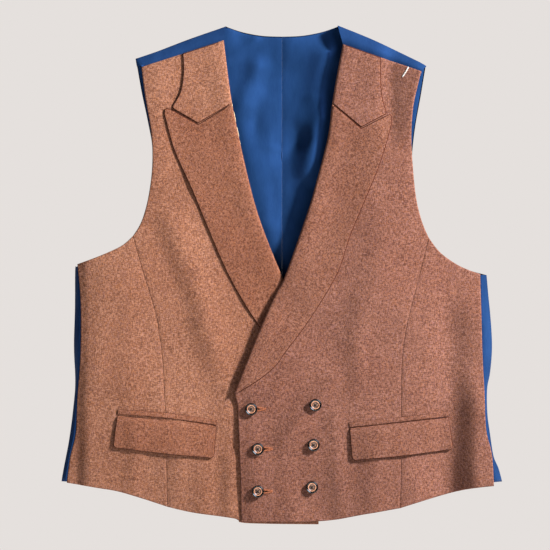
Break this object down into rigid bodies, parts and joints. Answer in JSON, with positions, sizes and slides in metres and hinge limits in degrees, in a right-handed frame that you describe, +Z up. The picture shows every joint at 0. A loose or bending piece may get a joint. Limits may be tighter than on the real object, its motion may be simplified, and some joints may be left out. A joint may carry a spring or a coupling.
{
  "type": "double-breasted waistcoat",
  "caption": "Buttoned double-breasted waistcoat with peak lapels, two flap pockets and a satin back drawn in by a buckled strap.",
  "frame": {"origin": "hanging point: on the centre line between the shoulders, level with the neck points of the shoulders", "axes": "+Z up to the collar, -Y the way the fronts face, +X to the wearer's left"},
  "size_m": [0.5295, 0.0338, 0.599],
  "materials": {
    "cloth": "matt two-tone plain-weave suiting",
    "cloth_lapel": "matt suiting, grain along the lapel",
    "satin": "bright blue satin",
    "lining_satin": "blue satin lining",
    "canvas": "matt canvas",
    "pocketing": "matt cotton pocketing",
    "horn": "polished dark horn",
    "thread": "twisted copper-coloured thread",
    "button_thread": "dark waxed button thread",
    "tack": "white basting cotton",
    "buckle": "nickel-plated wire"
  },
  "bodies": {
    "waistcoat": {"front_centre_r": "cloth", "front_side_r": "cloth", "lapel_r": "cloth_lapel", "collar_r": "cloth", "facing_r": "cloth", "canvas_r": "canvas", "front_lining_r": "lining_satin", "pocket_welt_r": "cloth", "pocket_jet_r": "cloth", "pocket_bag_r": "pocketing", "back_outer_r": "satin", "back_lining_r": "lining_satin", "front_centre_l": "cloth", "front_side_l": "cloth", "lapel_l": "cloth_lapel", "collar_l": "cloth", "facing_l": "cloth", "canvas_l": "canvas", "front_lining_l": "lining_satin", "pocket_welt_l": "cloth", "pocket_jet_l": "cloth", "pocket_bag_l": "pocketing", "back_outer_l": "satin", "back_lining_l": "lining_satin", "buttonhole_top": "thread", "buttonhole_mid": "thread", "buttonhole_low": "thread", "strap_r": "satin", "strap_l": "satin", "buckle_frame": "buckle", "shoulder_tack": "tack"},
    "flap_r": {"pocket_flap_r": "cloth", "flap_lining_r": "lining_satin"},
    "flap_l": {"pocket_flap_l": "cloth", "flap_lining_l": "lining_satin"},
    "tongue": {"buckle_tongue": "buckle"},
    "fasten_button_top": {"button_fasten_top": "horn", "thread_fasten_top": "button_thread"},
    "show_button_top": {"button_show_top": "horn", "thread_show_top": "button_thread"},
    "fasten_button_mid": {"button_fasten_mid": "horn", "thread_fasten_mid": "button_thread"},
    "show_button_mid": {"button_show_mid": "horn", "thread_show_mid": "button_thread"},
    "fasten_button_low": {"button_fasten_low": "horn", "thread_fasten_low": "button_thread"},
    "show_button_low": {"button_show_low": "horn", "thread_show_low": "button_thread"}
  },
  "joints": [
    {"name": "flap_r_lift", "type": "hinge", "parent": "waistcoat", "child": "flap_r", "pos_m": [-0.13821, -0.0095, -0.47506], "axis": [-0.9942, 0, 0.108], "range_deg": [0, 140]},
    {"name": "flap_l_lift", "type": "hinge", "parent": "waistcoat", "child": "flap_l", "pos_m": [0.14071, -0.0161, -0.47736], "axis": [-0.9942, 0, -0.108], "range_deg": [0, 140]},
    {"name": "tongue_lift", "type": "hinge", "parent": "waistcoat", "child": "tongue", "pos_m": [-0.01, 0.0111, -0.428], "axis": [0, 0, 1], "range_deg": [0, 70]},
    {"name": "fasten_button_top_turn", "type": "hinge", "parent": "waistcoat", "child": "fasten_button_top", "pos_m": [-0.037, -0.0162, -0.461], "axis": [0, -1, 0], "range_deg": [-20, 20], "stiffness_Nm_per_rad": 0.002},
    {"name": "fasten_button_mid_turn", "type": "hinge", "parent": "waistcoat", "child": "fasten_button_mid", "pos_m": [-0.029, -0.0162, -0.509], "axis": [0, -1, 0], "range_deg": [-20, 20], "stiffness_Nm_per_rad": 0.002},
    {"name": "fasten_button_low_turn", "type": "hinge", "parent": "waistcoat", "child": "fasten_button_low", "pos_m": [-0.029, -0.0162, -0.56], "axis": [0, -1, 0], "range_deg": [-20, 20], "stiffness_Nm_per_rad": 0.002},
    {"name": "show_button_top_turn", "type": "hinge", "parent": "waistcoat", "child": "show_button_top", "pos_m": [0.04, -0.0162, -0.456], "axis": [0, -1, 0], "range_deg": [-20, 20], "stiffness_Nm_per_rad": 0.002},
    {"name": "show_button_mid_turn", "type": "hinge", "parent": "waistcoat", "child": "show_button_mid", "pos_m": [0.038, -0.0162, -0.504], "axis": [0, -1, 0], "range_deg": [-20, 20], "stiffness_Nm_per_rad": 0.002},
    {"name": "show_button_low_turn", "type": "hinge", "parent": "waistcoat", "child": "show_button_low", "pos_m": [0.036, -0.0162, -0.555], "axis": [0, -1, 0], "range_deg": [-20, 20], "stiffness_Nm_per_rad": 0.002}
  ]
}
